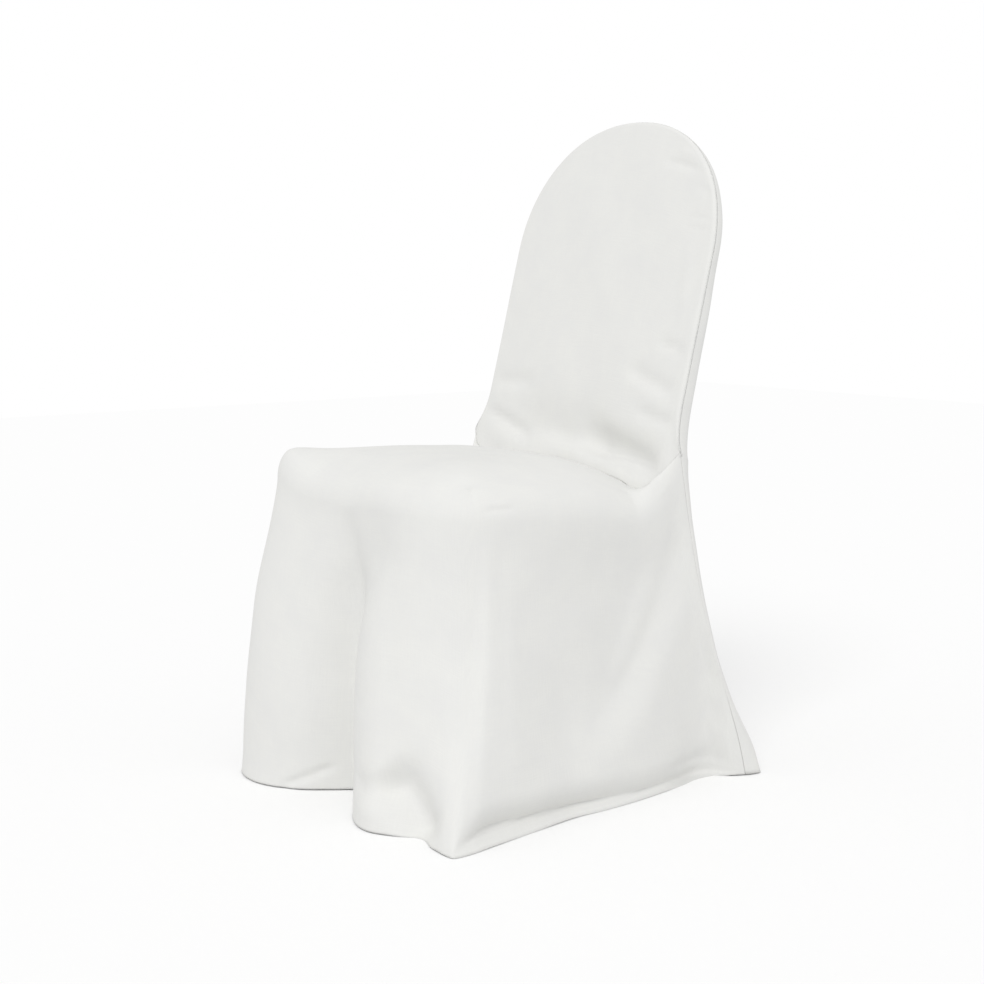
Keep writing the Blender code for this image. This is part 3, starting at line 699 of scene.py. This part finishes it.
SEAT_FOLDS = np.array([
    (0.192, 0.140, 0.446, 0.215, 0.172, 0.424, 0.000, 0.008, 0.006, 0.0024),
    (0.214, 0.164, 0.430, 0.214, 0.197, 0.300, 0.004, 0.006, 0.012, -0.0034),
    (0.196, -0.146, 0.424, 0.206, -0.086, 0.424, 0.001, 0.005, 0.006, -0.0015),
    (0.196, -0.140, 0.434, 0.204, -0.090, 0.433, 0.000, 0.005, 0.005, 0.0009),
    (0.206, 0.232, 0.330, 0.192, 0.294, -0.130, 0.004, 0.010, 0.042, -0.0120),
    (0.192, 0.170, 0.030, 0.206, 0.310, 0.022, 0.000, 0.018, 0.010, -0.0032),
    (0.212, 0.185, 0.410, 0.208, 0.020, 0.096, 0.048, 0.034, 0.020, -0.0070),
    (0.110, -0.240, 0.090, 0.200, -0.244, -0.012, 0.006, 0.034, 0.026, -0.0280),
    (0.044, -0.246, 0.048, 0.150, -0.246, 0.052, 0.004, 0.018, 0.016, -0.0060),
    (0.070, -0.250, 0.024, 0.140, -0.250, 0.020, 0.000, 0.012, 0.012, 0.0020),
    (-0.150, -0.238, -0.004, -0.070, -0.188, 0.038, 0.004, 0.006, 0.005, -0.0045),
    (0.030, -0.040, 0.480, 0.120, 0.010, 0.472, 0.004, 0.020, 0.016, -0.0010),
    (-0.120, -0.140, 0.474, -0.020, -0.150, 0.470, 0.004, 0.018, 0.016, 0.0010),
])


def cloth_panel(name, cells, place, outward, folds, hem):
    """One panel: its grid, its folds and waves raised along the normals, its sewn edges turned in."""
    points, quads, flat, face, ring, down = panel_grid(cells, place)
    height = np.ones(len(points))
    closed = hem == "none"
    if hem == "none":
        path = np.concatenate([ring[-1], ring[-2:0:-1, -1], face[0, ::-1], ring[1:-1, 0]])
        inner = np.concatenate([ring[-2], ring[-2:0:-1, -2], face[1, ::-1], ring[1:-1, 1]])
    elif hem == "foot":
        path, inner = ring[-1], ring[-2]
        steps = np.linalg.norm(np.diff(points[face], axis=0), axis=-1)
        height[face] = np.pad(np.cumsum(steps, axis=0), ((1, 0), (0, 0)))
        height[ring[1:]] = height[ring[0]]
    else:
        path = np.concatenate([ring[:0:-1, 0], face[0], ring[1:, -1]])
        inner = np.concatenate([ring[:0:-1, 1], face[1], ring[1:, -2]])
        height[ring] = down[-1] - down
    first, second, third, fourth = (points[quads[:, corner]] for corner in range(4))
    quad_normals = np.cross(third - first, fourth - second)
    if quad_normals.sum(axis=0) @ np.array(outward) < 0:
        quads, flat = quads[:, ::-1], flat[:, ::-1]
    normals = vertex_normals(points, quads)
    raised = unevenness(points)
    for row in folds:
        raised += fold_height(points, normals, row)
    free = np.full(len(points), 1.0)
    for chunk in np.array_split(np.arange(len(points)), 40):
        gap = np.linalg.norm(points[chunk, None] - points[path], axis=-1).min(axis=1)
        free[chunk] = smooth(gap / SEAM_HOLD)
    points = points + normals * (raised * free)[:, None]
    points[:, 2] = np.maximum(points[:, 2], HEM_LOWEST)
    into = np.zeros((len(path), 3))
    in_crease = np.isin(path, face[0]) & (hem != "foot")
    into[in_crease] = unit(np.array([0.0, 0.6, -0.8]))
    points, quads, flat = turned_in(points, quads, flat, path, inner, closed, into)
    height = np.concatenate([height, np.ones(len(points) - len(height))])
    points[:, 1] -= CENTRE_Y
    return sheet_object(name, points, quads, flat, height)


def sheet_object(name, points, quads, flat, height):
    """A mesh from the arrays, with its flat pattern and its height over the hem, made CLOTH thick."""
    mesh = bpy.data.meshes.new(name)
    mesh.from_pydata(points, [], quads)
    mesh.polygons.foreach_set("use_smooth", np.ones(len(quads), dtype=bool))
    pattern = mesh.uv_layers.new(name="flat_pattern")
    pattern.data.foreach_set("uv", flat.reshape(-1).astype(np.float32))
    over_hem = mesh.attributes.new("over_hem", "FLOAT", "POINT")
    over_hem.data.foreach_set("value", height.astype(np.float32))
    mesh.update()
    obj = bpy.data.objects.new(name, mesh)
    bpy.context.scene.collection.objects.link(obj)
    thick = obj.modifiers.new("cloth", "SOLIDIFY")
    thick.thickness = CLOTH
    thick.offset = -1.0
    return obj


def linear(text):
    """The linear colour of an sRGB hex value, by the sRGB curve."""
    parts = np.array([int(text[i:i + 2], 16) / 255 for i in (1, 3, 5)])
    bright = ((parts + 0.055) / 1.055) ** 2.4
    return (*np.where(parts <= 0.04045, parts / 12.92, bright), 1.0)


def add_node(tree, kind, values=(), links=(), **settings):
    """Adds a node, sets its settings and its sockets' values, and links other outputs to its sockets."""
    node = tree.nodes.new(kind)
    for key, value in settings.items():
        setattr(node, key, value)
    for socket, value in dict(values).items():
        node.inputs[socket].default_value = value
    for socket, output in dict(links).items():
        tree.links.new(output, node.inputs[socket])
    return node


def woven_polyester(name):
    """Plain woven white polyester, spun yarn: matt, a little uneven thread by thread, faintly slubbed.

    The threads are about 0.5 mm in the real cloth, under one pixel, so the yarn streaks are drawn
    2 mm thick and 25 to 40 mm long, across and along the flat pattern."""
    material = bpy.data.materials.new(name)
    material.use_nodes = True
    tree = material.node_tree
    shader = tree.nodes["Principled BSDF"]
    flat = add_node(tree, "ShaderNodeUVMap", uv_map="flat_pattern").outputs["UV"]
    yarns = []
    for stretch in ((30.0, 520.0, 1.0), (520.0, 34.0, 1.0)):
        turned = add_node(tree, "ShaderNodeMapping", {"Scale": stretch}, {"Vector": flat})
        yarn = add_node(tree, "ShaderNodeTexNoise", {"Scale": 1.0, "Detail": 2.0, "Roughness": 0.6},
                        {"Vector": turned.outputs["Vector"]}, noise_dimensions="2D")
        yarns.append(yarn.outputs["Fac"])
    weave = add_node(tree, "ShaderNodeMath", operation="ADD", links={0: yarns[0], 1: yarns[1]}).outputs[0]
    mottle = add_node(tree, "ShaderNodeTexNoise", {"Scale": 22.0, "Detail": 3.0, "Roughness": 0.55},
                      {"Vector": flat}, noise_dimensions="2D").outputs["Fac"]
    tone = add_node(tree, "ShaderNodeMath", operation="MULTIPLY", links={0: weave, 1: mottle}).outputs[0]
    shade = add_node(tree, "ShaderNodeMapRange", {"From Min": 0.2, "From Max": 0.8}, {"Value": tone})
    colour = add_node(tree, "ShaderNodeMix", {"A": linear("#e6e6e4"), "B": linear("#e9e9e6")},
                      {"Factor": shade.outputs["Result"]}, data_type="RGBA")
    tree.links.new(colour.outputs["Result"], shader.inputs["Base Color"])
    over_hem = add_node(tree, "ShaderNodeAttribute", attribute_name="over_hem").outputs["Fac"]
    above = add_node(tree, "ShaderNodeMath", {1: HEM_STITCH}, {0: over_hem}, operation="SUBTRACT")
    beside = add_node(tree, "ShaderNodeMath", operation="ABSOLUTE", links={0: above.outputs[0]}).outputs[0]
    groove = {"From Min": 0.0, "From Max": STITCH_HALF_WIDTH, "To Min": -0.5, "To Max": 0.0}
    sunk = add_node(tree, "ShaderNodeMapRange", groove, {"Value": beside},
                    interpolation_type="SMOOTHSTEP").outputs["Result"]
    relief = add_node(tree, "ShaderNodeMath", operation="ADD", links={0: weave, 1: sunk}).outputs[0]
    bump = add_node(tree, "ShaderNodeBump", {"Strength": 0.14, "Distance": 0.0006}, {"Height": relief})
    tree.links.new(bump.outputs["Normal"], shader.inputs["Normal"])
    shader.inputs["Roughness"].default_value = 0.9
    shader.inputs["Specular IOR Level"].default_value = 0.25
    shader.inputs["Sheen Weight"].default_value = 0.08
    shader.inputs["Sheen Roughness"].default_value = 0.5
    return material


def plain_floor():
    """A wide matt floor just under the hem: white as the camera sees it, pale grey to all other light."""
    mesh = bpy.data.meshes.new("pale_floor")
    ways = ((-1, -1), (1, -1), (1, 1), (-1, 1))
    corners = [(x * FLOOR_HALF, y * FLOOR_HALF, FLOOR_Z) for x, y in ways]
    mesh.from_pydata(corners, [], [(0, 1, 2, 3)])
    floor = bpy.data.objects.new("pale_floor", mesh)
    bpy.context.scene.collection.objects.link(floor)
    material = bpy.data.materials.new("matt_white_backdrop")
    material.use_nodes = True
    tree = material.node_tree
    shader = tree.nodes["Principled BSDF"]
    seen = add_node(tree, "ShaderNodeLightPath").outputs["Is Camera Ray"]
    shade = add_node(tree, "ShaderNodeMix", {"A": linear(FLOOR_BOUNCE), "B": linear(FLOOR_SEEN)},
                     {"Factor": seen}, data_type="RGBA")
    tree.links.new(shade.outputs["Result"], shader.inputs["Base Color"])
    shader.inputs["Roughness"].default_value = 1.0
    shader.inputs["Specular IOR Level"].default_value = 0.0
    mesh.materials.append(material)


def soft_light(name, azimuth, elevation, spread, strength):
    """A far, wide and even lamp that shines from an azimuth and an elevation."""
    turn, rise = np.radians(azimuth), np.radians(elevation)
    lamp = bpy.data.lights.new(name, "SUN")
    lamp.angle = np.radians(spread)
    lamp.energy = strength
    holder = bpy.data.objects.new(name, lamp)
    way = Vector((np.sin(turn) * np.cos(rise), -np.cos(turn) * np.cos(rise), np.sin(rise)))
    holder.location = way * 4.0
    holder.rotation_euler = (-way).to_track_quat("-Z", "Y").to_euler()
    bpy.context.scene.collection.objects.link(holder)


def studio():
    """The camera at the photograph's angle, a bright even surround and one soft key lamp."""
    scene = bpy.context.scene
    camera = bpy.data.cameras.new("camera")
    camera.lens = CAMERA_LENS
    camera.sensor_width = 36.0
    holder = bpy.data.objects.new("camera", camera)
    holder.location = CAMERA_PLACE
    aim = Vector(CAMERA_AIM) - Vector(CAMERA_PLACE)
    holder.rotation_euler = aim.to_track_quat("-Z", "Y").to_euler()
    scene.collection.objects.link(holder)
    scene.camera = holder
    scene.view_settings.view_transform = "Standard"
    world = bpy.data.worlds.new("surround")
    scene.world = world
    world.use_nodes = True
    tree = world.node_tree
    surround = tree.nodes["Background"]
    surround.inputs["Color"].default_value = (1.0, 1.0, 1.0, 1.0)
    surround.inputs["Strength"].default_value = SURROUND
    backdrop = add_node(tree, "ShaderNodeBackground", {"Color": (1.0, 1.0, 1.0, 1.0)})
    seen = add_node(tree, "ShaderNodeLightPath").outputs["Is Camera Ray"]
    parts = {0: seen, 1: surround.outputs[0], 2: backdrop.outputs[0]}
    both = add_node(tree, "ShaderNodeMixShader", links=parts)
    tree.links.new(both.outputs[0], tree.nodes["World Output"].inputs["Surface"])
    soft_light("key", KEY_AZIMUTH, KEY_ELEVATION, KEY_SPREAD, KEY_STRENGTH)
    plain_floor()


def flat_area(obj):
    """The area of the sheet's own faces, before it gets its thickness."""
    mesh = obj.data
    areas = np.empty(len(mesh.polygons))
    mesh.polygons.foreach_get("area", areas)
    return float(areas.sum())


def dress():
    """The three panels, each in its own cloth, riding on the part."""
    makings = {
        "inside_back": (INSIDE_CELLS, inside_back, (0, -1, 0), INSIDE_FOLDS, "none"),
        "outside_back": (OUTSIDE_CELLS, outside_back, (0, 1, 0), OUTSIDE_FOLDS, "foot"),
        "seat_skirt": (SEAT_CELLS, seat_skirt, (0, 0, 1), SEAT_FOLDS, "border"),
    }
    pieces = {node: cloth_panel(f"{node}_cloth", *making) for node, making in makings.items()}
    for node, piece in pieces.items():
        piece.data.materials.append(woven_polyester(f"woven_polyester_{node}"))
        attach(piece, "root")
        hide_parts(node)
        area = round(flat_area(piece), 3)


studio()
dress()
bpy.context.view_layer.update()
